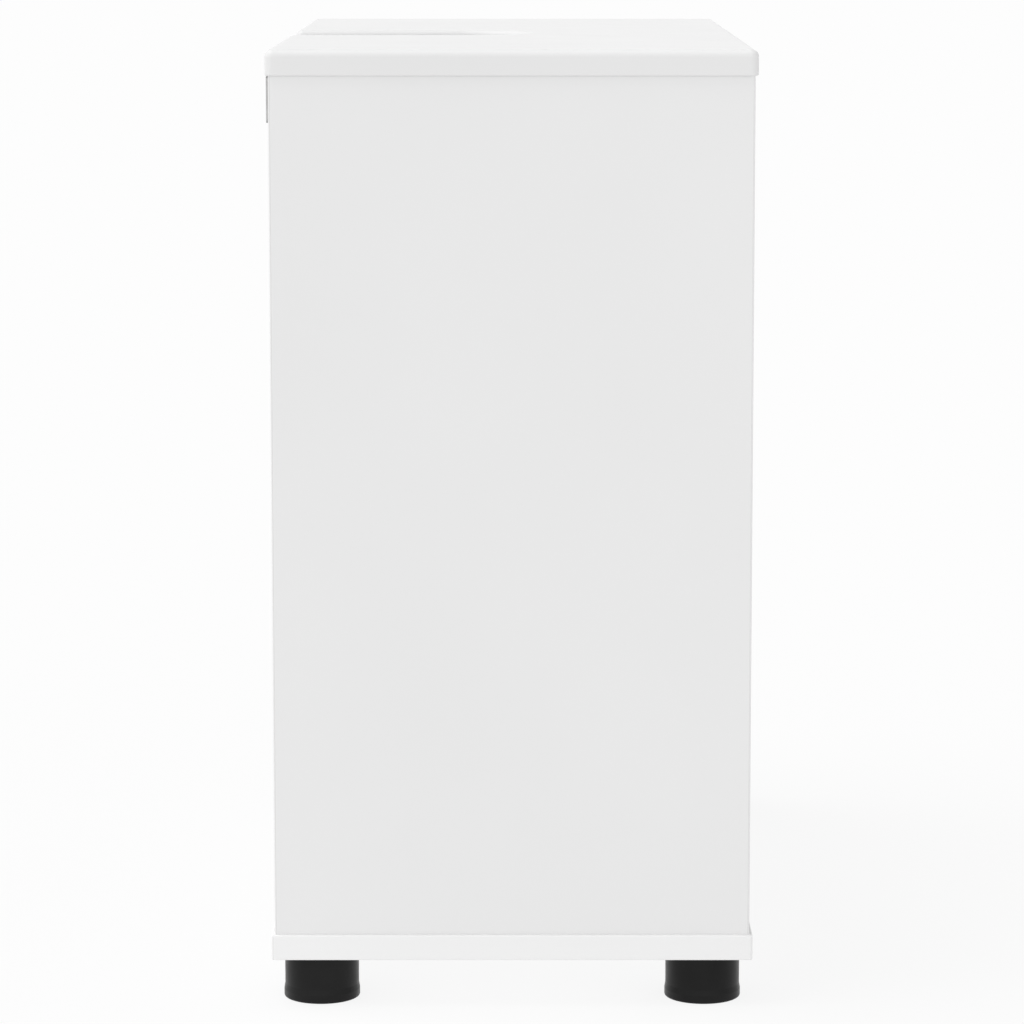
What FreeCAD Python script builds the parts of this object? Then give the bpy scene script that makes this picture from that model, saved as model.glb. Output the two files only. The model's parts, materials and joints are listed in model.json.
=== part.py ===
import FreeCAD, Part
import os

# Bathroom vanity cabinet: two inset doors, one shelf, an open back and a top with a pipe cut-out.
# Frame: millimetres, +Z up, -Y towards the front, +X to the right of somebody facing the doors.
# The origin is on the floor, under the middle of the overall box, which the knobs and the
# top's rear edge bound along Y.

Vector = FreeCAD.Vector
X_AXIS = Vector(1, 0, 0)
Y_AXIS = Vector(0, 1, 0)
Z_AXIS = Vector(0, 0, 1)
SIDES = {"left": -1, "right": 1}

# ---- Driving dimensions ----
WIDTH = 600.0
DEPTH = 300.0
HEIGHT = 596.0
BOARD = 16.0
OVERHANG = 2.0              # top and bottom panels past the side panels, all round
EDGE_ROUND = 0.8            # edging of the plain boards

TOP_CORNER_ROUND = 5.0      # upright corners of the top panel
TOP_RIM_ROUND = 4.5         # its upper edge, round the cut-out too
TOP_UNDERSIDE_ROUND = 1.0
BOTTOM_RIM_ROUND = 1.0
CUTOUT_WIDTH = 90.0
CUTOUT_LENGTH = 160.0       # from the rear edge to the round end

FOOT_HEIGHT = 30.0
FOOT_INSET = 30.0           # foot centre from the bottom panel's edges
FOOT_RADIUS = 23.3
FOOT_RIM_RADIUS = 23.9
FOOT_RIM_HEIGHT = 5.2
FOOT_RIM_ROUND = 1.4
FOOT_TOP_CHAMFER = 0.6
FOOT_FLARE_HEIGHT = 3.5
FOOT_WALL = 3.1
FOOT_ROOF = 4.0
FOOT_BOSS_RADIUS = 7.5
FOOT_RIB = 2.0
FOOT_SCREW_SEAT = 14.0      # height of the screw's seat above the floor

DOOR_GAP = 2.0              # beside, above and below each door
MEETING_GAP = 3.0           # between the two doors
DOOR_SETBACK = 1.0          # door face behind the side panels' front edges
DOOR_ROUND = 1.0
PIVOT_INSET = 18.0          # pivot axis from the door's outer edge
PIN_RADIUS = 3.0
PIN_IN_DOOR = 20.0
PIN_CHAMFER = 0.5
BUSH_RADIUS = 5.0
BUSH_DEPTH = 9.0
BUSH_END_WALL = 1.2
BUSH_FLANGE_RADIUS = 7.0
BUSH_FLANGE = 1.7
PIN_END_CLEARANCE = 0.5
RUNNING_GAP = 0.05          # radial, pin in bush

KNOB_STAND_OUT = 15.0
KNOB_RADIUS = 13.0
KNOB_NECK_RADIUS = 5.0
KNOB_BASE_RADIUS = 7.0
KNOB_BASE = 1.5
KNOB_BASE_ROUND = 0.5
KNOB_HEAD = 8.5
KNOB_FACE_ROUND = 2.5
KNOB_BACK_ROUND = 1.5
KNOB_NECK_ROUND = 1.5
KNOB_THREAD_DEPTH = 11.0
KNOB_FROM_EDGE = 28.0       # knob axis from the door's meeting edge
KNOB_FROM_TOP = 110.0       # knob axis below the door's top edge
KNOB_DISH_RADIUS = 60.0
KNOB_DISH_DEPTH = 0.7

STRIKE_WIDTH = 36.0
STRIKE_HEIGHT = 12.0
STRIKE_PLATE = 1.5
STRIKE_ROUND = 2.0
CATCH_AIR_GAP = 0.4
CATCH_WIDTH = 46.0
CATCH_BODY_WIDTH = 27.0
CATCH_DEPTH = 14.0
CATCH_HEIGHT = 18.0
CATCH_EAR = 3.0
CATCH_EAR_ROUND = 2.0
CATCH_ROUND = 1.0
POLE_PLATE = 1.5
POLE_PROUD = 0.8
MAGNET_WIDTH = 20.0
MAGNET_HEIGHT = 7.0
MAGNET_LENGTH = 7.0
MAGNET_LIFT = 2.0           # lower pole plate above the housing's underside
MAGNET_GAP = 0.1            # round the magnet and its pole plates

SHELF_SIDE_GAP = 1.0
SHELF_FRONT_SETBACK = 42.0  # behind the side panels' front edges, clear of the doors' swing
SHELF_DEPTH = 240.0
PIN_HOLE_RADIUS = 2.5
PIN_HOLE_DEPTH = 10.0
PIN_HOLE_PITCH = 32.0
PIN_HOLE_STEPS = (-2, -1, 0, 1, 2)
PIN_ROW_MIDDLE = 298.0      # height of the middle hole of each row
PIN_ROW_INSETS = (70.0, 60.0)   # front row from the front edge, rear row from the rear edge
PIN_LEDGE_LENGTH = 8.0
PIN_LEDGE_RADIUS = 4.0
PIN_LEDGE_TOP = 2.0         # ledge top above the pin's axis

LOWER_RAIL_HEIGHT = 80.0
UPPER_RAIL_HEIGHT = 60.0
UPPER_RAIL_FROM_CUTOUT = 10.0

WALL_PLATE = 1.2
WALL_PLATE_WIDTH = 41.0
WALL_PLATE_HEIGHT = 28.0
WALL_PLATE_EDGE_GAP = 1.0   # plate's outer edge inside the side panel's face
WALL_PLATE_TOP_GAP = 0.5
WALL_PLATE_ROUND = 1.5
WALL_PLATE_SCREW_PITCH = 14.0
WALL_HOLE_RADIUS = 3.0
WALL_HOLE_SPACING = 536.0

CAM_REACH = 34.0            # cam centre from the joint between two boards
CAM_RADIUS = 7.4
CAM_DEPTH = 12.5
CAM_BOLT_THREAD = 11.0
CAM_FROM_END = 50.0
DOWEL_RADIUS = 4.0
DOWEL_SHORT = 11.0
DOWEL_LONG = 19.0
DOWEL_CHAMFER = 0.8
DOWEL_FROM_CAM = 32.0
DRILL_GAP = 0.05            # radial, fastener in its hole
DRILL_SPARE = 0.5           # hole deeper than the fastener
CUT_PAST = 1.0              # a cutting tool past the face that it enters or leaves

# Cam bolt radii, and its head's ends either side of the cam's centre
BOLT_THREAD_RADIUS = 2.5
BOLT_SHANK_RADIUS = 3.5
BOLT_NECK_RADIUS = 2.1
BOLT_HEAD_RADIUS = 3.3
BOLT_HEAD_HALF = 1.0
BOLT_NECK = 4.0
CAM_POCKET_RADIUS = 3.8
CAM_POCKET_END = 1.5        # past the cam's centre
CAM_RECESS_DEPTH = 2.5

# Rail joints: cam and dowel heights, and places along the rails
LOWER_RAIL_CAM_UP = 50.0
LOWER_RAIL_DOWEL_UP = 20.0
LOWER_RAIL_FLOOR_DOWEL_X = 120.0
UPPER_RAIL_CAM_DOWN = 30.0
UPPER_RAIL_DOWEL_DOWN = 50.0
UPPER_RAIL_ROOF_CAM_X = 80.0
UPPER_RAIL_ROOF_DOWEL_X = 160.0

# Screws: head radius, shank radius, length
KNOB_SCREW = (4.0, 2.0, 25.0)
CATCH_SCREW = (3.0, 1.6, 12.0)
STRIKE_SCREW = (2.4, 1.3, 11.0)
WALL_PLATE_SCREW = (2.9, 1.75, 25.0)
FOOT_SCREW = (4.2, 2.0, 28.0)
SCREW_CLEARANCE = 0.25      # radial, where a screw passes through without biting
STRIKE_SCREW_STEP = 13.0    # from the strike plate's middle
CATCH_SCREW_STEP = 18.5     # from the catch's middle

# ---- Places worked out from them ----
REAR_Y = (DEPTH + KNOB_STAND_OUT - DOOR_SETBACK - OVERHANG) / 2
FRONT_Y = REAR_Y - DEPTH
SIDE_FRONT_Y = FRONT_Y + OVERHANG
SIDE_REAR_Y = REAR_Y - OVERHANG
SIDE_OUTER_X = WIDTH / 2 - OVERHANG
SIDE_INNER_X = SIDE_OUTER_X - BOARD
SIDE_MIDDLE_X = SIDE_OUTER_X - BOARD / 2
INNER_FLOOR_Z = FOOT_HEIGHT + BOARD
INNER_ROOF_Z = HEIGHT - BOARD
DOOR_FRONT_Y = SIDE_FRONT_Y + DOOR_SETBACK
DOOR_BACK_Y = DOOR_FRONT_Y + BOARD
DOOR_BOTTOM_Z = INNER_FLOOR_Z + DOOR_GAP
DOOR_TOP_Z = INNER_ROOF_Z - DOOR_GAP
DOOR_MEETING_X = MEETING_GAP / 2
DOOR_OUTER_X = SIDE_INNER_X - DOOR_GAP
PIVOT_X = DOOR_OUTER_X - PIVOT_INSET
PIVOT_Y = (DOOR_FRONT_Y + DOOR_BACK_Y) / 2
KNOB_X = DOOR_MEETING_X + KNOB_FROM_EDGE
KNOB_Z = DOOR_TOP_Z - KNOB_FROM_TOP
CATCH_FRONT_Y = DOOR_BACK_Y + STRIKE_PLATE + CATCH_AIR_GAP + POLE_PROUD
CATCH_MIDDLE_Y = CATCH_FRONT_Y + CATCH_DEPTH / 2
MAGNET_Z = INNER_ROOF_Z - CATCH_HEIGHT + MAGNET_LIFT + POLE_PLATE + MAGNET_HEIGHT / 2
SHELF_FRONT_Y = SIDE_FRONT_Y + SHELF_FRONT_SETBACK
SHELF_Z = PIN_ROW_MIDDLE + PIN_LEDGE_TOP
PIN_ROWS_Y = (SIDE_FRONT_Y + PIN_ROW_INSETS[0], SIDE_REAR_Y - PIN_ROW_INSETS[1])
RAIL_FRONT_Y = SIDE_REAR_Y - BOARD
RAIL_MIDDLE_Y = SIDE_REAR_Y - BOARD / 2
CUTOUT_END_CENTRE_Y = REAR_Y - CUTOUT_LENGTH + CUTOUT_WIDTH / 2
UPPER_RAIL_INNER_X = CUTOUT_WIDTH / 2 + UPPER_RAIL_FROM_CUTOUT
WALL_PLATE_TOP_Z = INNER_ROOF_Z - WALL_PLATE_TOP_GAP
WALL_PLATE_MIDDLE_Z = WALL_PLATE_TOP_Z - WALL_PLATE_HEIGHT / 2

nodes = {}      # node name: the solids it is made of
holes = {}      # node name: the tools that are cut from it


# ---- Shapes ----
def block(x_pair, y_pair, z_pair):
    """A box between two values along each axis, given in either order."""
    sizes = [abs(high - low) for low, high in (x_pair, y_pair, z_pair)]
    corner = Vector(min(x_pair), min(y_pair), min(z_pair))
    return Part.makeBox(*sizes, corner)


def rod(radius, start, end):
    """A cylinder whose axis runs from start to end."""
    run = end - start
    return Part.makeCylinder(radius, run.Length, start, run)


def turned(outline):
    """A solid turned about Z, from the (radius, height) corners of its half section."""
    corners = [Vector(radius, 0, height) for radius, height in outline]
    face = Part.Face(Part.makePolygon(corners + corners[:1]))
    return face.revolve(Vector(), Z_AXIS, 360)


def aimed(shape, place, direction):
    """The shape with its origin at the place and its +Z along the direction."""
    placement = FreeCAD.Placement(place, FreeCAD.Rotation(Z_AXIS, direction))
    return shape.transformed(placement.toMatrix(), True)


def edges_along(shape, direction):
    """The straight edges that run along a direction."""
    chosen = []
    for edge in shape.Edges:
        straight = edge.Curve.TypeId == "Part::GeomLine"
        if straight and edge.tangentAt(edge.FirstParameter).cross(direction).Length < 1e-6:
            chosen.append(edge)
    return chosen


def edges_at_height(shape, height):
    """The edges that lie in one level plane."""
    boxes = [(edge, edge.BoundBox) for edge in shape.Edges]
    return [edge for edge, box in boxes if max(abs(box.ZMin - height), abs(box.ZMax - height)) < 1e-4]


def rims(shape, radius, height):
    """The circular edges about Z with this radius at this height."""
    return [edge for edge in edges_at_height(shape, height)
            if abs(edge.BoundBox.XMax - radius) < 1e-4]


def cross_recess(radius, depth):
    """The tool for a cross-shaped driver recess, sunk from the origin along +Z."""
    arm = 0.6 * radius
    half_slot = 0.13 * radius
    along_x = block((-arm, arm), (-half_slot, half_slot), (-CUT_PAST, depth))
    along_y = block((-half_slot, half_slot), (-arm, arm), (-CUT_PAST, depth))
    return along_x.fuse(along_y)


def pan_screw(head_radius, shank_radius, length):
    """A pan-head screw driven along +Z, with its head's seat at the origin."""
    head_height = 0.7 * head_radius
    outline = [(0, -head_height), (0.6 * head_radius, -head_height), (head_radius, -0.5 * head_height),
               (head_radius, 0), (shank_radius, 0), (shank_radius, length - shank_radius), (0, length)]
    recess = cross_recess(head_radius, 0.6 * head_height)
    recess.translate(Vector(0, 0, -head_height))
    return turned(outline).cut(recess)


def countersunk_screw(head_radius, shank_radius, length):
    """A countersunk screw driven along +Z, with its head's flat face at the origin."""
    cone = head_radius - shank_radius
    outline = [(0, 0), (head_radius, 0), (shank_radius, cone), (shank_radius, length - shank_radius),
               (0, length)]
    return turned(outline).cut(cross_recess(head_radius, 0.7 * cone))


def countersink(screw, thickness):
    """The tool for a screw's countersunk hole through a plate, sunk from the origin along +Z."""
    head_radius, shank_radius, _ = screw
    cone = head_radius - shank_radius
    wide = head_radius + DRILL_GAP
    narrow = shank_radius + DRILL_GAP
    end = thickness + CUT_PAST
    return turned([(0, -CUT_PAST), (wide, -CUT_PAST), (wide, 0), (narrow, cone), (narrow, end), (0, end)])


# ---- Bookkeeping of nodes and of the holes in them ----
def keep(node, *solids):
    nodes.setdefault(node, []).extend(solids)


def drill(node, radius, start, direction, depth):
    """Note a round hole that is cut from the node when it is finished."""
    holes.setdefault(node, []).append(rod(radius, start, start + direction * depth))


def drill_for(node, screw, seat, direction):
    """Note the pilot hole of a screw whose head seats at this place."""
    drill(node, screw[1] + DRILL_GAP, seat, direction, screw[2] + DRILL_SPARE)


def finished(node, shape):
    """The shape with every hole that was noted for its node."""
    return shape.cut(Part.makeCompound(holes[node])) if node in holes else shape


# ---- Joints between boards ----
def cam_bolt():
    """A bolt along +Z from the joint: thread behind, shank, neck and head in the cam."""
    head_top = CAM_REACH + BOLT_HEAD_HALF
    head_low = CAM_REACH - BOLT_HEAD_HALF
    neck_low = head_low - BOLT_NECK
    return turned([(0, -CAM_BOLT_THREAD), (BOLT_THREAD_RADIUS, -CAM_BOLT_THREAD), (BOLT_THREAD_RADIUS, 0),
                   (BOLT_SHANK_RADIUS, 0), (BOLT_SHANK_RADIUS, neck_low), (BOLT_NECK_RADIUS, neck_low + 1),
                   (BOLT_NECK_RADIUS, head_low - 1), (BOLT_HEAD_RADIUS, head_low),
                   (BOLT_HEAD_RADIUS, head_top), (0, head_top)])


def cam_lock(into, face, centre):
    """A cam in the board's face, with the pocket that grips the bolt's head and a cross recess."""
    mouth = centre + face * (BOARD / 2)
    body = rod(CAM_RADIUS, mouth, mouth - face * CAM_DEPTH)
    pocket = rod(CAM_POCKET_RADIUS, centre - into * (CAM_RADIUS + CUT_PAST), centre + into * CAM_POCKET_END)
    recess = aimed(cross_recess(CAM_RADIUS, CAM_RECESS_DEPTH), mouth, face * -1)
    return body.cut(pocket).cut(recess)


def cam_joint(cam_board, bolt_board, joint, into, face):
    """Join two boards: the bolt screws into one, and the cam pulls it into the other."""
    centre = joint + into * CAM_REACH
    keep("cam_bolts", aimed(cam_bolt(), joint, into))
    keep("cam_locks", cam_lock(into, face, centre))
    drill(bolt_board, BOLT_THREAD_RADIUS + DRILL_GAP, joint, into * -1, CAM_BOLT_THREAD + DRILL_SPARE)
    drill(cam_board, BOLT_SHANK_RADIUS + SCREW_CLEARANCE, joint, into, CAM_REACH)
    drill(cam_board, CAM_RADIUS + DRILL_GAP, centre + face * (BOARD / 2), face * -1, CAM_DEPTH + DRILL_SPARE)


def dowel_joint(short_board, long_board, joint, into):
    """A wooden dowel across a joint, a short way into one board and further into the other."""
    start = joint - into * DOWEL_SHORT
    dowel = rod(DOWEL_RADIUS, start, joint + into * DOWEL_LONG)
    keep("dowels", dowel.makeChamfer(DOWEL_CHAMFER, [edge for edge in dowel.Edges if edge.Closed]))
    drill(short_board, DOWEL_RADIUS + DRILL_GAP, joint, into * -1, DOWEL_SHORT + DRILL_SPARE)
    drill(long_board, DOWEL_RADIUS + DRILL_GAP, joint, into, DOWEL_LONG + DRILL_SPARE)


def join_side(name, side):
    """The side panel to the top and bottom panels, near its front and rear edges."""
    panel = name + "_side_panel"
    inward = X_AXIS * -side
    rows = [(SIDE_FRONT_Y + CAM_FROM_END, DOWEL_FROM_CAM), (SIDE_REAR_Y - CAM_FROM_END, -DOWEL_FROM_CAM)]
    ends = [("top_panel", INNER_ROOF_Z, Z_AXIS * -1), ("bottom_panel", INNER_FLOOR_Z, Z_AXIS)]
    for cam_y, dowel_step in rows:
        for slab, level, into in ends:
            joint = Vector(side * SIDE_MIDDLE_X, cam_y, level)
            cam_joint(panel, slab, joint, into, inward)
            dowel_joint(slab, panel, joint + Y_AXIS * dowel_step, into)


def join_rails(name, side):
    """The rear rails to the side panel, and the upper rail to the top panel."""
    panel = name + "_side_panel"
    upper = "rear_rail_upper_" + name
    inward = X_AXIS * -side
    forward = Y_AXIS * -1
    ends = [("rear_rail_lower", INNER_FLOOR_Z + LOWER_RAIL_CAM_UP, INNER_FLOOR_Z + LOWER_RAIL_DOWEL_UP),
            (upper, INNER_ROOF_Z - UPPER_RAIL_CAM_DOWN, INNER_ROOF_Z - UPPER_RAIL_DOWEL_DOWN)]
    for board, cam_z, dowel_z in ends:
        cam_joint(board, panel, Vector(side * SIDE_INNER_X, RAIL_MIDDLE_Y, cam_z), inward, forward)
        dowel_joint(panel, board, Vector(side * SIDE_INNER_X, RAIL_MIDDLE_Y, dowel_z), inward)
    roof_cam = Vector(side * UPPER_RAIL_ROOF_CAM_X, RAIL_MIDDLE_Y, INNER_ROOF_Z)
    cam_joint(upper, "top_panel", roof_cam, Z_AXIS * -1, forward)
    roof_dowel = Vector(side * UPPER_RAIL_ROOF_DOWEL_X, RAIL_MIDDLE_Y, INNER_ROOF_Z)
    dowel_joint("top_panel", upper, roof_dowel, Z_AXIS * -1)
    floor_dowel = Vector(side * LOWER_RAIL_FLOOR_DOWEL_X, RAIL_MIDDLE_Y, INNER_FLOOR_Z)
    dowel_joint("bottom_panel", "rear_rail_lower", floor_dowel, Z_AXIS)


# ---- Boards ----
def slab(low_z):
    """A square-edged panel of the cabinet's full width and the top's full depth."""
    return block((-WIDTH / 2, WIDTH / 2), (FRONT_Y, REAR_Y), (low_z, low_z + BOARD))


def top_panel():
    """The top, with a rounded rim and the U-shaped cut-out for the pipe, open to the rear."""
    half = CUTOUT_WIDTH / 2
    low_z = INNER_ROOF_Z - CUT_PAST
    high_z = HEIGHT + CUT_PAST
    straight = block((-half, half), (CUTOUT_END_CENTRE_Y, REAR_Y + CUT_PAST), (low_z, high_z))
    round_end = rod(half, Vector(0, CUTOUT_END_CENTRE_Y, low_z), Vector(0, CUTOUT_END_CENTRE_Y, high_z))
    panel = slab(INNER_ROOF_Z).cut(straight.fuse(round_end)).removeSplitter()
    panel = panel.makeFillet(TOP_CORNER_ROUND, upright_corners(panel))
    panel = panel.makeFillet(TOP_RIM_ROUND, edges_at_height(panel, HEIGHT))
    return panel.makeFillet(TOP_UNDERSIDE_ROUND, edges_at_height(panel, INNER_ROOF_Z))


def upright_corners(panel):
    """The upright edges at the top panel's front and rear: its corners and the cut-out's mouth."""
    chosen = []
    for edge in edges_along(panel, Z_AXIS):
        edge_y = edge.BoundBox.YMin
        if min(abs(edge_y - FRONT_Y), abs(edge_y - REAR_Y)) < 0.01:
            chosen.append(edge)
    return chosen


def bottom_panel():
    panel = slab(FOOT_HEIGHT)
    return panel.makeFillet(BOTTOM_RIM_ROUND, panel.Edges)


def side_panel(side):
    panel = block((side * SIDE_INNER_X, side * SIDE_OUTER_X), (SIDE_FRONT_Y, SIDE_REAR_Y),
                  (INNER_FLOOR_Z, INNER_ROOF_Z))
    return panel.makeFillet(EDGE_ROUND, edges_along(panel, Z_AXIS))


def rail(x_pair, z_pair):
    """A rail across the rear, flush with the side panels' rear edges."""
    board = block(x_pair, (RAIL_FRONT_Y, SIDE_REAR_Y), z_pair)
    return board.makeFillet(EDGE_ROUND, edges_along(board, X_AXIS))


def make_boards():
    for name, side in SIDES.items():
        panel = name + "_side_panel"
        keep(panel, finished(panel, side_panel(side)))
        upper = "rear_rail_upper_" + name
        shape = rail((side * UPPER_RAIL_INNER_X, side * SIDE_INNER_X),
                     (INNER_ROOF_Z - UPPER_RAIL_HEIGHT, INNER_ROOF_Z))
        keep(upper, finished(upper, shape))
    lower = rail((-SIDE_INNER_X, SIDE_INNER_X), (INNER_FLOOR_Z, INNER_FLOOR_Z + LOWER_RAIL_HEIGHT))
    keep("rear_rail_lower", finished("rear_rail_lower", lower))
    keep("top_panel", finished("top_panel", top_panel()))
    keep("bottom_panel", finished("bottom_panel", bottom_panel()))


# ---- Shelf and its pins ----
def make_shelf():
    half = SIDE_INNER_X - SHELF_SIDE_GAP
    shelf = block((-half, half), (SHELF_FRONT_Y, SHELF_FRONT_Y + SHELF_DEPTH), (SHELF_Z, SHELF_Z + BOARD))
    keep("shelf", shelf.makeFillet(EDGE_ROUND, shelf.Edges))
    for name, side in SIDES.items():
        inward = X_AXIS * -side
        for row_y in PIN_ROWS_Y:
            for step in PIN_HOLE_STEPS:
                mouth = Vector(side * SIDE_INNER_X, row_y, PIN_ROW_MIDDLE + step * PIN_HOLE_PITCH)
                drill(name + "_side_panel", PIN_HOLE_RADIUS + DRILL_GAP, mouth, inward * -1, PIN_HOLE_DEPTH)
            keep("shelf_pins", shelf_pin(Vector(side * SIDE_INNER_X, row_y, PIN_ROW_MIDDLE), inward))


def shelf_pin(mouth, inward):
    """A pin in the side panel with a flat-topped ledge that carries the shelf."""
    stem = rod(PIN_HOLE_RADIUS, mouth - inward * (PIN_HOLE_DEPTH - DRILL_SPARE), mouth)
    ledge = rod(PIN_LEDGE_RADIUS, mouth, mouth + inward * PIN_LEDGE_LENGTH)
    reach_x = PIN_LEDGE_LENGTH + CUT_PAST
    reach_y = PIN_LEDGE_RADIUS + CUT_PAST
    above = block((mouth.x - reach_x, mouth.x + reach_x), (mouth.y - reach_y, mouth.y + reach_y),
                  (mouth.z + PIN_LEDGE_TOP, mouth.z + PIN_LEDGE_RADIUS + CUT_PAST))
    return stem.fuse(ledge.cut(above)).removeSplitter()


# ---- Doors, pivots and knobs ----
def door(side):
    panel = block((side * DOOR_MEETING_X, side * DOOR_OUTER_X), (DOOR_FRONT_Y, DOOR_BACK_Y),
                  (DOOR_BOTTOM_Z, DOOR_TOP_Z))
    return panel.makeFillet(DOOR_ROUND, panel.Edges)


def pivot_bush():
    """A flanged nylon cup, set along +Z into a panel whose face is at the origin."""
    bore = PIN_RADIUS + RUNNING_GAP
    body = BUSH_RADIUS - DRILL_GAP
    bore_end = BUSH_DEPTH - BUSH_END_WALL
    return turned([(bore, -BUSH_FLANGE), (BUSH_FLANGE_RADIUS, -BUSH_FLANGE), (BUSH_FLANGE_RADIUS, 0),
                   (body, 0), (body, BUSH_DEPTH), (0, BUSH_DEPTH), (0, bore_end), (bore, bore_end)])


def make_pivots(name, side):
    """A pin and a bush at the door's top and bottom, on one upright axis."""
    pin_reach = BUSH_DEPTH - BUSH_END_WALL - PIN_END_CLEARANCE
    door_node = "door_" + name
    ends = [("top_panel", INNER_ROOF_Z, DOOR_TOP_Z, Z_AXIS),
            ("bottom_panel", INNER_FLOOR_Z, DOOR_BOTTOM_Z, Z_AXIS * -1)]
    for panel, panel_z, door_z, outward in ends:
        panel_point = Vector(side * PIVOT_X, PIVOT_Y, panel_z)
        door_point = Vector(side * PIVOT_X, PIVOT_Y, door_z)
        keep("pivot_bushes", aimed(pivot_bush(), panel_point, outward))
        drill(panel, BUSH_RADIUS, panel_point, outward, BUSH_DEPTH + DRILL_SPARE)
        pin = rod(PIN_RADIUS, door_point - outward * PIN_IN_DOOR, panel_point + outward * pin_reach)
        keep("pivot_pins_" + name, pin.makeChamfer(PIN_CHAMFER, [edge for edge in pin.Edges if edge.Closed]))
        drill(door_node, PIN_RADIUS + DRILL_GAP, door_point, outward * -1, PIN_IN_DOOR + DRILL_SPARE)


def knob():
    """A low round knob that stands along +Z, with a dished face and a threaded hole behind."""
    head_low = KNOB_STAND_OUT - KNOB_HEAD
    thread_radius = KNOB_SCREW[1] + DRILL_GAP
    thread_end = KNOB_THREAD_DEPTH
    shape = turned([(thread_radius, 0), (KNOB_BASE_RADIUS, 0), (KNOB_BASE_RADIUS, KNOB_BASE),
                    (KNOB_NECK_RADIUS, KNOB_BASE), (KNOB_NECK_RADIUS, head_low), (KNOB_RADIUS, head_low),
                    (KNOB_RADIUS, KNOB_STAND_OUT), (0, KNOB_STAND_OUT), (0, thread_end),
                    (thread_radius, thread_end)])
    shape = shape.makeFillet(KNOB_FACE_ROUND, rims(shape, KNOB_RADIUS, KNOB_STAND_OUT))
    shape = shape.makeFillet(KNOB_BACK_ROUND, rims(shape, KNOB_RADIUS, head_low))
    shape = shape.makeFillet(KNOB_NECK_ROUND, rims(shape, KNOB_NECK_RADIUS, head_low))
    shape = shape.makeFillet(KNOB_BASE_ROUND, rims(shape, KNOB_BASE_RADIUS, KNOB_BASE))
    dish_centre = Vector(0, 0, KNOB_STAND_OUT - KNOB_DISH_DEPTH + KNOB_DISH_RADIUS)
    return shape.cut(Part.makeSphere(KNOB_DISH_RADIUS, dish_centre))


def make_door(name, side):
    node = "door_" + name
    outward = Y_AXIS * -1
    make_pivots(name, side)
    keep("knob_" + name, aimed(knob(), Vector(side * KNOB_X, DOOR_FRONT_Y, KNOB_Z), outward))
    screw_seat = Vector(side * KNOB_X, DOOR_BACK_Y, KNOB_Z)
    keep("knob_screw_" + name, aimed(pan_screw(*KNOB_SCREW), screw_seat, outward))
    drill(node, KNOB_SCREW[1] + SCREW_CLEARANCE, screw_seat, outward, BOARD)
    make_strike(name, side)
    keep(node, finished(node, door(side)))


# ---- Magnetic catches under the top, and their strike plates on the doors ----
def make_strike(name, side):
    """A steel plate on the door's back, held by two countersunk screws."""
    half_width = STRIKE_WIDTH / 2
    half_height = STRIKE_HEIGHT / 2
    middle_x = side * KNOB_X
    plate = block((middle_x - half_width, middle_x + half_width), (DOOR_BACK_Y, DOOR_BACK_Y + STRIKE_PLATE),
                  (MAGNET_Z - half_height, MAGNET_Z + half_height))
    plate = plate.makeFillet(STRIKE_ROUND, edges_along(plate, Y_AXIS))
    inward = Y_AXIS * -1
    for step in (-STRIKE_SCREW_STEP, STRIKE_SCREW_STEP):
        seat = Vector(middle_x + step, DOOR_BACK_Y + STRIKE_PLATE, MAGNET_Z)
        plate = plate.cut(aimed(countersink(STRIKE_SCREW, STRIKE_PLATE), seat, inward))
        keep("strike_screws_" + name, aimed(countersunk_screw(*STRIKE_SCREW), seat, inward))
        drill_for("door_" + name, STRIKE_SCREW, seat, inward)
    keep("strike_plate_" + name, plate)


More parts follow.
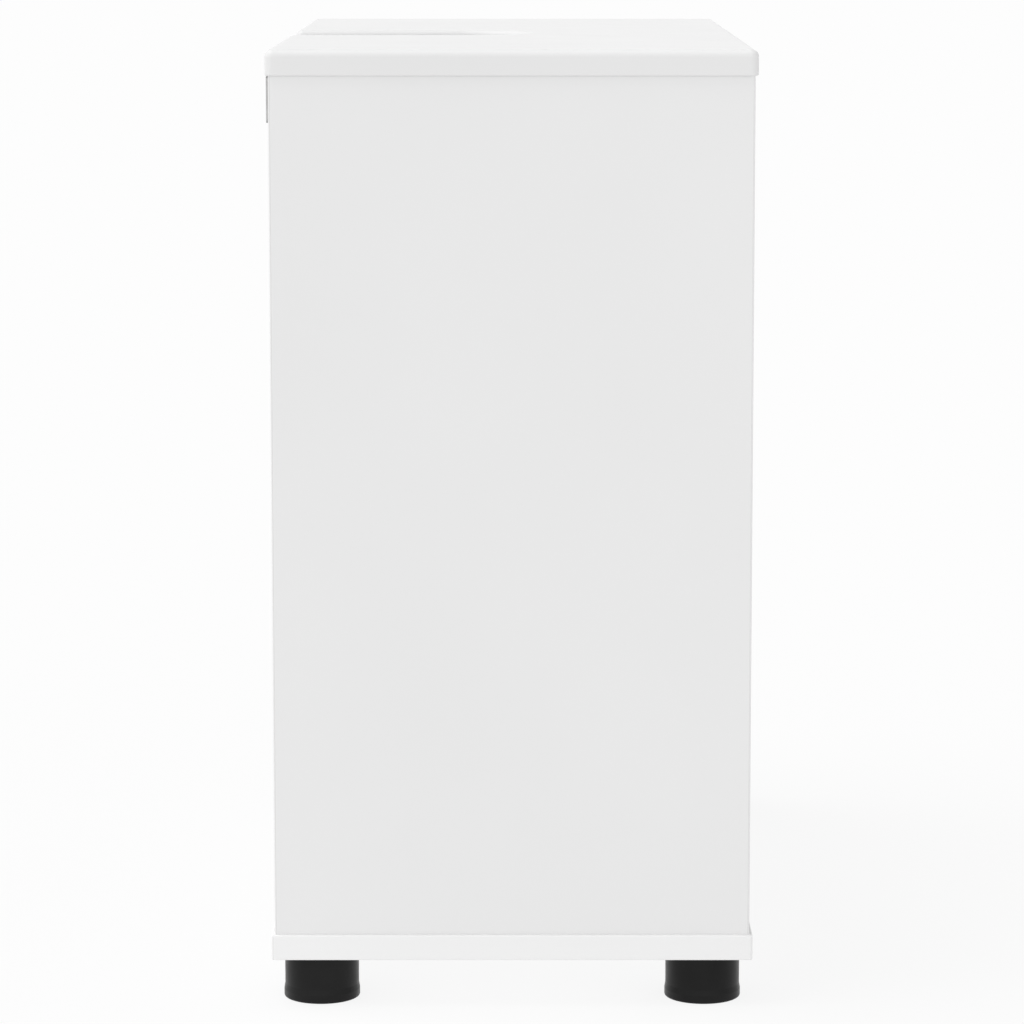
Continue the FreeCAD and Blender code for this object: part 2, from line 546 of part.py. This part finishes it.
def make_catch(name, side):
    """A housing under the top panel that holds a magnet between two pole plates."""
    middle_x = side * KNOB_X
    y_pair = (CATCH_FRONT_Y, CATCH_FRONT_Y + CATCH_DEPTH)
    half_body = CATCH_BODY_WIDTH / 2
    body = block((middle_x - half_body, middle_x + half_body), y_pair,
                 (INNER_ROOF_Z - CATCH_HEIGHT, INNER_ROOF_Z))
    body = body.makeFillet(CATCH_ROUND, edges_at_height(body, INNER_ROOF_Z - CATCH_HEIGHT))
    half_width = CATCH_WIDTH / 2
    ears = block((middle_x - half_width, middle_x + half_width), y_pair,
                 (INNER_ROOF_Z - CATCH_EAR, INNER_ROOF_Z))
    ears = ears.makeFillet(CATCH_EAR_ROUND, edges_along(ears, Z_AXIS))
    half_magnet = MAGNET_WIDTH / 2
    half_pocket = half_magnet + MAGNET_GAP
    half_stack = MAGNET_HEIGHT / 2 + POLE_PLATE + MAGNET_GAP
    pocket = block((middle_x - half_pocket, middle_x + half_pocket),
                   (CATCH_FRONT_Y - CUT_PAST, CATCH_FRONT_Y + MAGNET_LENGTH + MAGNET_GAP),
                   (MAGNET_Z - half_stack, MAGNET_Z + half_stack))
    housing = body.fuse(ears).cut(pocket)
    for step in (-CATCH_SCREW_STEP, CATCH_SCREW_STEP):
        seat = Vector(middle_x + step, CATCH_MIDDLE_Y, INNER_ROOF_Z - CATCH_EAR)
        passage = rod(CATCH_SCREW[1] + SCREW_CLEARANCE, seat - Z_AXIS * CUT_PAST,
                      seat + Z_AXIS * (CATCH_EAR + CUT_PAST))
        housing = housing.cut(passage)
        keep("catch_screws", aimed(pan_screw(*CATCH_SCREW), seat, Z_AXIS))
        drill_for("top_panel", CATCH_SCREW, seat, Z_AXIS)
    keep("catch_housing_" + name, housing.removeSplitter())
    magnet_x = (middle_x - half_magnet, middle_x + half_magnet)
    magnet_back_y = CATCH_FRONT_Y + MAGNET_LENGTH
    keep("catch_magnets", block(magnet_x, (CATCH_FRONT_Y, magnet_back_y),
                                (MAGNET_Z - MAGNET_HEIGHT / 2, MAGNET_Z + MAGNET_HEIGHT / 2)))
    for up in (-1, 1):
        inner_z = MAGNET_Z + up * MAGNET_HEIGHT / 2
        pole_plate = block(magnet_x, (CATCH_FRONT_Y - POLE_PROUD, magnet_back_y),
                           (inner_z, inner_z + up * POLE_PLATE))
        keep("catch_pole_plates", pole_plate)


# ---- Feet ----
def foot():
    """A round moulded foot, hollow from below, with a boss for its screw and four ribs."""
    flare_top = FOOT_RIM_HEIGHT + FOOT_FLARE_HEIGHT
    shape = turned([(0, 0), (FOOT_RIM_RADIUS, 0), (FOOT_RIM_RADIUS, FOOT_RIM_HEIGHT),
                    (FOOT_RADIUS, flare_top), (FOOT_RADIUS, FOOT_HEIGHT), (0, FOOT_HEIGHT)])
    shape = shape.makeFillet(FOOT_RIM_ROUND, rims(shape, FOOT_RIM_RADIUS, 0))
    shape = shape.makeChamfer(FOOT_TOP_CHAMFER, rims(shape, FOOT_RADIUS, FOOT_HEIGHT))
    inner = FOOT_RIM_RADIUS - FOOT_WALL
    roof = FOOT_HEIGHT - FOOT_ROOF
    hollow = turned([(FOOT_BOSS_RADIUS, -CUT_PAST), (inner, -CUT_PAST), (inner, roof),
                     (FOOT_BOSS_RADIUS, roof)])
    full_span = (-inner, inner)
    rib_span = (-FOOT_RIB / 2, FOOT_RIB / 2)
    for x_pair, y_pair in ((full_span, rib_span), (rib_span, full_span)):
        hollow = hollow.cut(block(x_pair, y_pair, (FOOT_RIM_HEIGHT, roof)))
    shape = shape.cut(hollow)
    head_radius, shank_radius, _ = FOOT_SCREW
    shape = shape.cut(rod(head_radius + SCREW_CLEARANCE, Z_AXIS * -CUT_PAST, Z_AXIS * FOOT_SCREW_SEAT))
    return shape.cut(rod(shank_radius + SCREW_CLEARANCE, Vector(), Z_AXIS * (FOOT_HEIGHT + CUT_PAST)))


def make_feet():
    for row, foot_y in (("front", FRONT_Y + FOOT_INSET), ("rear", REAR_Y - FOOT_INSET)):
        for name, side in SIDES.items():
            centre = Vector(side * (WIDTH / 2 - FOOT_INSET), foot_y, 0)
            keep("foot_" + row + "_" + name, aimed(foot(), centre, Z_AXIS))
            seat = centre + Z_AXIS * FOOT_SCREW_SEAT
            keep("foot_screws", aimed(pan_screw(*FOOT_SCREW), seat, Z_AXIS))
            drill_for("bottom_panel", FOOT_SCREW, seat, Z_AXIS)


# ---- Wall plates ----
def make_wall_plate(name, side):
    """A steel plate on the side panel's rear edge, with an ear for a wall screw through the rail."""
    outer_x = SIDE_OUTER_X - WALL_PLATE_EDGE_GAP
    plate_rear_y = SIDE_REAR_Y + WALL_PLATE
    plate = block((side * outer_x, side * (outer_x - WALL_PLATE_WIDTH)), (SIDE_REAR_Y, plate_rear_y),
                  (WALL_PLATE_TOP_Z - WALL_PLATE_HEIGHT, WALL_PLATE_TOP_Z))
    plate = plate.makeFillet(WALL_PLATE_ROUND, edges_along(plate, Y_AXIS))
    inward = Y_AXIS * -1
    for step in (-WALL_PLATE_SCREW_PITCH / 2, WALL_PLATE_SCREW_PITCH / 2):
        seat = Vector(side * SIDE_MIDDLE_X, plate_rear_y, WALL_PLATE_MIDDLE_Z + step)
        plate = plate.cut(aimed(countersink(WALL_PLATE_SCREW, WALL_PLATE), seat, inward))
        keep("wall_plate_screws", aimed(countersunk_screw(*WALL_PLATE_SCREW), seat, inward))
        drill_for(name + "_side_panel", WALL_PLATE_SCREW, seat, inward)
    wall_hole = Vector(side * WALL_HOLE_SPACING / 2, plate_rear_y + CUT_PAST, WALL_PLATE_MIDDLE_Z)
    plate_cut = WALL_PLATE + 2 * CUT_PAST
    drill("rear_rail_upper_" + name, WALL_HOLE_RADIUS, wall_hole, inward, BOARD + plate_cut)
    wall_screw_space = rod(WALL_HOLE_RADIUS, wall_hole, wall_hole + inward * plate_cut)
    keep("wall_plate_" + name, plate.cut(wall_screw_space))


# ---- The whole cabinet ----
make_shelf()
make_feet()
for side_name, side_sign in SIDES.items():
    join_side(side_name, side_sign)
    join_rails(side_name, side_sign)
    make_door(side_name, side_sign)
    make_catch(side_name, side_sign)
    make_wall_plate(side_name, side_sign)
make_boards()

os.makedirs("parts", exist_ok=True)
for node_name, node_solids in nodes.items():
    node_shape = node_solids[0] if len(node_solids) == 1 else Part.makeCompound(node_solids)
    node_shape.exportStep("parts/" + node_name + ".step")
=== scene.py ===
import json
import math

import bpy
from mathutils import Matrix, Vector


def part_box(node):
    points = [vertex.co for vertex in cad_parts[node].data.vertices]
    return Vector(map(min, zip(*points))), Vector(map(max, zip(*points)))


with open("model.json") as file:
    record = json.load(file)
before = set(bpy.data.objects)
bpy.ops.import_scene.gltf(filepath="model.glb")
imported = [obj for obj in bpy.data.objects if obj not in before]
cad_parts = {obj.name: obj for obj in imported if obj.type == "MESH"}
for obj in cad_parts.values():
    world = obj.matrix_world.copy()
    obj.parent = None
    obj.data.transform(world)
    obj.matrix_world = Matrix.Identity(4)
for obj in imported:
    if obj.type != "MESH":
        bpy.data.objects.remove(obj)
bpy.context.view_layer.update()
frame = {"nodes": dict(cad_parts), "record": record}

# The looks of a white vanity cabinet, in metres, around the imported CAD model. -Y is the front.
# The main view looks along +X at the cabinet's left side, with its front to the picture's right.

nodes = frame["nodes"]
scene = bpy.context.scene

# ---- Camera ----
CAMERA_FROM_SIDE = 2.487        # from the top's left end to the camera
CAMERA_TO_FRONT = 0.0070        # from the top's middle towards the front
CAMERA_HEIGHT = 0.692
CAMERA_PITCH = math.radians(7.805)
SENSOR_WIDTH = 36.0
FOCAL_LENGTH = 143.9
SHIFT_X = -0.0110
SHIFT_Y = -0.06

# ---- Light ----
HORIZON = 0.985                 # brightness of the backdrop, level with the eye
ZENITH = 0.55
HORIZON_BAND = (0.35, 0.95)     # the direction's Z where the backdrop starts and ends dimming
LEFT_GAIN = 1.30                # brightness of the backdrop's far left, times the rest's
LEFT_BAND = (-0.1, -0.9)        # the direction's X where it starts and ends brightening
FRONT_GAIN = 0.8                # the same in front of the doors, where it dims
FRONT_BAND = (-0.2, -0.9)       # the direction's Y where it starts and ends dimming
KEY_FROM = (0.0, 0.42, 0.91)    # above and a little behind
KEY_STRENGTH = 1.5
KEY_SOFTNESS = math.radians(45)
FLOOR_SIZE = 80.0
FLOOR_PAINT = 0.10              # how much of the light on it the floor gives back
FLOOR_ROUGHNESS = 0.9
FLOOR_GLOW = 0.863              # what it adds of its own, so that it is as pale as the backdrop

# ---- Boards: how white each one is, with painted shade on the top panel and painted light on the bottom panel, and the axes whose ends carry an edging strip ----
# The top panel's darker white is painted shade and the bottom panel's lighter white is painted light; every
# other board takes the plain white.
PAINTED_SHADE_AND_LIGHT_TONES = {"top_panel": 0.735, "bottom_panel": 0.82}
PLAIN_TONE = 0.762
EDGED_AXES = {"left_side_panel": "Y", "right_side_panel": "Y", "bottom_panel": "XY", "shelf": "XY",
              "door_left": "XZ", "door_right": "XZ", "rear_rail_lower": "Z",
              "rear_rail_upper_left": "XZ", "rear_rail_upper_right": "XZ", "top_panel": ""}
EDGING_THICKNESS = 0.001
SEAM_HALF_WIDTH = 0.00018
SEAM_TONE = 0.8                 # the joint's white, times the board's
CORE_DEPTH = 0.0012             # nothing of a board's skin lies deeper than this
TONE_SPREAD = 0.012             # how far a board's white wanders either side of its tone
LAMINATE_ROUGHNESS = (0.40, 0.50)
CHIPBOARD_ROUGHNESS = 0.9
CHIPBOARD_DARK = (0.30, 0.20, 0.11, 1)
CHIPBOARD_LIGHT = (0.52, 0.38, 0.23, 1)

# ---- Reliefs and noises ----
MICRON = 0.000001
SOFT = (0.3, 0.7)               # the middle of a noise's range, which mottle() stretches to its whole range
CRISP = (0.35, 0.65)


# ---- Node helpers ----
def set_range(node, low, high, new_low, new_high):
    """Fill in a Map Range node's two ranges."""
    node.inputs["From Min"].default_value = low
    node.inputs["From Max"].default_value = high
    node.inputs["To Min"].default_value = new_low
    node.inputs["To Max"].default_value = new_high


class Shader:
    """A material whose nodes are added and linked by short calls."""

    def __init__(self, name):
        self.material = bpy.data.materials.new(name)
        self.material.use_nodes = True
        self.tree = self.material.node_tree
        self.surface = self.tree.nodes["Principled BSDF"]
        self.place = self.add("ShaderNodeTexCoord").outputs["Object"]

    def add(self, kind, **settings):
        node = self.tree.nodes.new(kind)
        for key, value in settings.items():
            setattr(node, key, value)
        return node

    def link(self, output, socket):
        self.tree.links.new(output, socket)

    def feed(self, socket, value):
        """Link an output to a socket, or set the socket to a number or colour."""
        if isinstance(value, bpy.types.NodeSocket):
            self.link(value, socket)
        else:
            socket.default_value = value

    def noise(self, scale, detail=2.0, roughness=0.5, place=None):
        """Cloudy noise, whose scale is about how many blotches there are to a metre."""
        node = self.add("ShaderNodeTexNoise")
        node.inputs["Scale"].default_value = scale
        node.inputs["Detail"].default_value = detail
        node.inputs["Roughness"].default_value = roughness
        self.link(place or self.place, node.inputs["Vector"])
        return node.outputs["Fac"]

    def stretched(self, scales):
        """The object's coordinates, scaled along each axis."""
        node = self.add("ShaderNodeMapping")
        node.inputs["Scale"].default_value = scales
        self.link(self.place, node.inputs["Vector"])
        return node.outputs["Vector"]

    def along(self, axis):
        """The object's coordinate along one axis, X, Y or Z."""
        node = self.add("ShaderNodeSeparateXYZ")
        self.link(self.place, node.inputs["Vector"])
        return node.outputs[axis]

    def span(self, value, low, high, new_low=0.0, new_high=1.0):
        """Map a range of the value to another range, clamped at its ends."""
        node = self.add("ShaderNodeMapRange", clamp=True)
        set_range(node, low, high, new_low, new_high)
        self.feed(node.inputs["Value"], value)
        return node.outputs["Result"]

    def mottle(self, noise, low=0.0, high=1.0, contrast=SOFT):
        """A noise as blotches that run from low to high."""
        return self.span(noise, *contrast, low, high)

    def maths(self, operation, *values):
        node = self.add("ShaderNodeMath", operation=operation)
        for socket, value in zip(node.inputs, values):
            self.feed(socket, value)
        return node.outputs["Value"]

    def tint(self, amount, colour_a, colour_b):
        """A colour that goes from a to b with the amount."""
        node = self.add("ShaderNodeMix", data_type="RGBA")
        self.feed(node.inputs["Factor"], amount)
        self.feed(node.inputs["A"], colour_a)
        self.feed(node.inputs["B"], colour_b)
        return node.outputs["Result"]

    def relief(self, height, depth, below=None):
        """Add bumps of a real depth in metres to the surface, over an earlier relief if one is given."""
        node = self.add("ShaderNodeBump")
        node.inputs["Strength"].default_value = 1.0
        node.inputs["Distance"].default_value = depth
        self.link(height, node.inputs["Height"])
        if below:
            self.link(below, node.inputs["Normal"])
        return node.outputs["Normal"]

    def finish(self, colour, roughness, normal, **numbers):
        """Connect the surface; the numbers are uniform values by socket name."""
        self.feed(self.surface.inputs["Base Color"], colour)
        self.feed(self.surface.inputs["Roughness"], roughness)
        self.link(normal, self.surface.inputs["Normal"])
        for name, number in numbers.items():
            self.surface.inputs[name.replace("_", " ")].default_value = number
        return self.material


def grey(level, alpha=1.0):
    return (level, level, level, alpha)


# ---- Materials ----
def depth_from_ends(shader, axis, low, high):
    """How far a point is inside the nearer end of a board along one axis."""
    place = shader.along(axis)
    index = "XYZ".index(axis)
    from_low = shader.maths("SUBTRACT", place, low[index])
    from_high = shader.maths("SUBTRACT", high[index], place)
    return shader.maths("MINIMUM", from_low, from_high)


def edging_seam(shader, depths):
    """1 along the hairline joint between the edging strips and the board's faces, else 0."""
    seam = None
    for depth in depths:
        off = shader.maths("ABSOLUTE", shader.maths("SUBTRACT", depth, EDGING_THICKNESS))
        line = shader.span(off, 0.0, SEAM_HALF_WIDTH, 1.0, 0.0)
        seam = shader.maths("MAXIMUM", seam, line) if seam else line
    return seam


def laminate(node, tone, edged):
    """White melamine with a fine pebble and faint waves, and joints and a chipboard core if it is edged."""
    shader = Shader(node + "_laminate")
    low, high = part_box(node)
    cloud = shader.mottle(shader.noise(5.0, detail=3.0), 0.0, 0.6)
    fleck = shader.mottle(shader.noise(2600.0, detail=1.0), 0.0, 0.4, CRISP)
    shade = shader.maths("ADD", cloud, fleck)
    colour = shader.tint(shade, grey(tone - TONE_SPREAD), grey(tone + TONE_SPREAD))
    roughness = shader.mottle(shader.noise(14.0, detail=4.0, roughness=0.6), *LAMINATE_ROUGHNESS)
    wave = shader.relief(shader.noise(55.0, detail=1.0), 40 * MICRON)
    surface = shader.relief(shader.noise(1500.0, roughness=0.6), 10 * MICRON, wave)
    if edged:
        depths = {axis: depth_from_ends(shader, axis, low, high) for axis in "XYZ"}
        seam = edging_seam(shader, [depths[axis] for axis in edged])
        colour = shader.tint(seam, colour, grey(tone * SEAM_TONE))
        surface = shader.relief(shader.maths("SUBTRACT", 1.0, seam), 60 * MICRON, surface)
        inside = shader.maths("MINIMUM", depths["X"], shader.maths("MINIMUM", depths["Y"], depths["Z"]))
        core = shader.maths("GREATER_THAN", inside, CORE_DEPTH)
        grains = shader.mottle(shader.noise(900.0, detail=3.0), contrast=CRISP)
        chips = shader.tint(grains, CHIPBOARD_DARK, CHIPBOARD_LIGHT)
        colour = shader.tint(core, colour, chips)
        chip_roughness = shader.maths("MULTIPLY", core, CHIPBOARD_ROUGHNESS)
        roughness = shader.maths("MAXIMUM", roughness, chip_roughness)
    return shader.finish(colour, roughness, surface, Specular_IOR_Level=0.4)


def black_plastic():
    """Satin black moulding with a fine spark-eroded grain."""
    shader = Shader("black_plastic")
    colour = shader.tint(shader.mottle(shader.noise(30.0, detail=3.0)), grey(0.005), grey(0.009))
    roughness = shader.mottle(shader.noise(120.0, detail=3.0), 0.28, 0.38)
    grain = shader.relief(shader.noise(2200.0), 6 * MICRON)
    return shader.finish(colour, roughness, grain, Specular_IOR_Level=0.17)


def white_nylon():
    """Milky moulded nylon that lets a little light in."""
    shader = Shader("white_nylon")
    colour = shader.tint(shader.mottle(shader.noise(40.0)), grey(0.66), (0.70, 0.70, 0.68, 1))
    roughness = shader.mottle(shader.noise(200.0), 0.36, 0.48)
    grain = shader.relief(shader.noise(1800.0), 5 * MICRON)
    return shader.finish(colour, roughness, grain, Subsurface_Weight=0.05)


def plated_steel(name, dark, light, rough_low, rough_high):
    """Plated steel or plain zinc: metal with a cloudy passivation and fine drawn lines."""
    shader = Shader(name)
    colour = shader.tint(shader.mottle(shader.noise(90.0, detail=4.0, roughness=0.6)), dark, light)
    roughness = shader.mottle(shader.noise(300.0, detail=3.0), rough_low, rough_high)
    upright_lines = shader.noise(900.0, place=shader.stretched((1.0, 1.0, 0.12)))
    return shader.finish(colour, roughness, shader.relief(upright_lines, 4 * MICRON), Metallic=1.0)


def turned_nickel(knob):
    """Satin nickel with the fine rings that turning leaves round the knob's axis, which runs along Y."""
    shader = Shader(knob + "_nickel")
    low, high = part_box(knob)
    middle = (low + high) / 2
    across = shader.maths("SUBTRACT", shader.along("X"), middle.x)
    above = shader.maths("SUBTRACT", shader.along("Z"), middle.z)
    across_squared = shader.maths("MULTIPLY", across, across)
    above_squared = shader.maths("MULTIPLY", above, above)
    radius = shader.maths("SQRT", shader.maths("ADD", across_squared, above_squared))
    rings = shader.add("ShaderNodeCombineXYZ")
    shader.link(radius, rings.inputs["X"])
    shader.link(shader.along("Y"), rings.inputs["Y"])
    turned = shader.noise(2400.0, detail=3.0, roughness=0.7, place=rings.outputs["Vector"])
    cloud = shader.mottle(shader.noise(120.0, detail=3.0))
    colour = shader.tint(cloud, (0.50, 0.485, 0.46, 1), (0.58, 0.565, 0.54, 1))
    roughness = shader.mottle(turned, 0.20, 0.34)
    return shader.finish(colour, roughness, shader.relief(turned, 8 * MICRON), Metallic=1.0, Anisotropic=0.5)


def ferrite():
    """The catches' sintered magnets: dark, dull and finely pitted."""
    shader = Shader("ferrite")
    colour = shader.tint(shader.mottle(shader.noise(300.0, detail=3.0)), grey(0.03), grey(0.055))
    grain = shader.relief(shader.noise(2500.0, detail=3.0), 10 * MICRON)
    return shader.finish(colour, roughness=0.7, normal=grain)


def beech():
    """Dowel wood, streaked along Z."""
    shader = Shader("dowel_beech")
    streaks = shader.noise(500.0, detail=4.0, place=shader.stretched((1.0, 1.0, 0.06)))
    shade = shader.mottle(streaks, contrast=CRISP)
    colour = shader.tint(shade, (0.44, 0.26, 0.13, 1), (0.60, 0.40, 0.22, 1))
    return shader.finish(colour, roughness=0.6, normal=shader.relief(streaks, 20 * MICRON))


def coat(node, material):
    """Put the material in every slot of a CAD node's mesh."""
    mesh = nodes[node].data
    for index in range(len(mesh.materials)):
        mesh.materials[index] = material


def coat_slot(slot, material):
    """Give the material to every CAD node of one slot of the record."""
    for entry in frame["record"]["subparts"]:
        if entry["material_slot"] == slot:
            coat(entry["node"], material)


# The top and bottom panels take their painted-shade and painted-light whites here.
for board, edged_axes in EDGED_AXES.items():
    coat(board, laminate(board, PAINTED_SHADE_AND_LIGHT_TONES.get(board, PLAIN_TONE), edged_axes))
for knob_node in ("knob_left", "knob_right"):
    coat(knob_node, turned_nickel(knob_node))
coat_slot("black_plastic", black_plastic())
coat_slot("white_nylon", white_nylon())
coat_slot("zinc_steel", plated_steel("zinc_steel", grey(0.42), grey(0.52), 0.28, 0.42))
coat_slot("wall_plate_steel", plated_steel("wall_plate_steel", grey(0.42), grey(0.50), 0.34, 0.48))
coat_slot("cam_zinc", plated_steel("cam_zinc", grey(0.46), grey(0.56), 0.42, 0.55))
coat_slot("ferrite", ferrite())
coat_slot("dowel_beech", beech())


# ---- Floor, light and camera ----
def floor():
    """A wide pale floor that shows only faint shadows."""
    bpy.ops.mesh.primitive_plane_add(size=FLOOR_SIZE)
    plane = bpy.context.object
    plane.name = "studio_floor"
    material = bpy.data.materials.new("studio_floor")
    material.use_nodes = True
    surface = material.node_tree.nodes["Principled BSDF"]
    surface.inputs["Base Color"].default_value = grey(FLOOR_PAINT)
    surface.inputs["Roughness"].default_value = FLOOR_ROUGHNESS
    surface.inputs["Specular IOR Level"].default_value = 0.0
    surface.inputs["Emission Color"].default_value = grey(1.0)
    surface.inputs["Emission Strength"].default_value = FLOOR_GLOW
    plane.data.materials.append(material)


def backdrop():
    """A pale backdrop, brighter to the left and dimmer towards the front and the zenith."""
    world = bpy.data.worlds.new("studio")
    world.use_nodes = True
    tree = world.node_tree
    direction = tree.nodes.new("ShaderNodeTexCoord")
    split = tree.nodes.new("ShaderNodeSeparateXYZ")
    tree.links.new(direction.outputs["Generated"], split.inputs["Vector"])

    def fade(axis, start, end, near, far):
        """A brightness that goes from near to far as the direction's part along the axis goes to its end."""
        node = tree.nodes.new("ShaderNodeMapRange")
        node.interpolation_type = "SMOOTHSTEP"
        set_range(node, start, end, near, far)
        tree.links.new(split.outputs[axis], node.inputs["Value"])
        return node.outputs["Result"]

    def product(first, second):
        node = tree.nodes.new("ShaderNodeMath")
        node.operation = "MULTIPLY"
        tree.links.new(first, node.inputs[0])
        tree.links.new(second, node.inputs[1])
        return node.outputs["Value"]

    upwards = fade("Z", *HORIZON_BAND, HORIZON, ZENITH)
    leftwards = fade("X", *LEFT_BAND, 1.0, LEFT_GAIN)
    frontwards = fade("Y", *FRONT_BAND, 1.0, FRONT_GAIN)
    background = tree.nodes["Background"]
    background.inputs["Color"].default_value = grey(1.0)
    tree.links.new(product(upwards, product(leftwards, frontwards)), background.inputs["Strength"])
    scene.world = world


def key_light():
    """A broad soft light from above."""
    light = bpy.data.lights.new("key", "SUN")
    light.energy = KEY_STRENGTH
    light.angle = KEY_SOFTNESS
    lamp = bpy.data.objects.new("key", light)
    scene.collection.objects.link(lamp)
    lamp.rotation_euler = Vector(KEY_FROM).to_track_quat("Z", "Y").to_euler()


def camera():
    """The main view, from a little above the top, looking along +X and slightly down."""
    low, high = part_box("top_panel")
    lens = bpy.data.cameras.new("camera")
    lens.sensor_width = SENSOR_WIDTH
    lens.lens = FOCAL_LENGTH
    lens.shift_x = SHIFT_X
    lens.shift_y = SHIFT_Y
    eye = bpy.data.objects.new("camera", lens)
    scene.collection.objects.link(eye)
    eye.location = (low.x - CAMERA_FROM_SIDE, (low.y + high.y) / 2 - CAMERA_TO_FRONT, CAMERA_HEIGHT)
    eye.rotation_euler = (math.pi / 2 - CAMERA_PITCH, 0, -math.pi / 2)
    scene.camera = eye


floor()
backdrop()
key_light()
camera()
scene.view_settings.view_transform = "Standard"
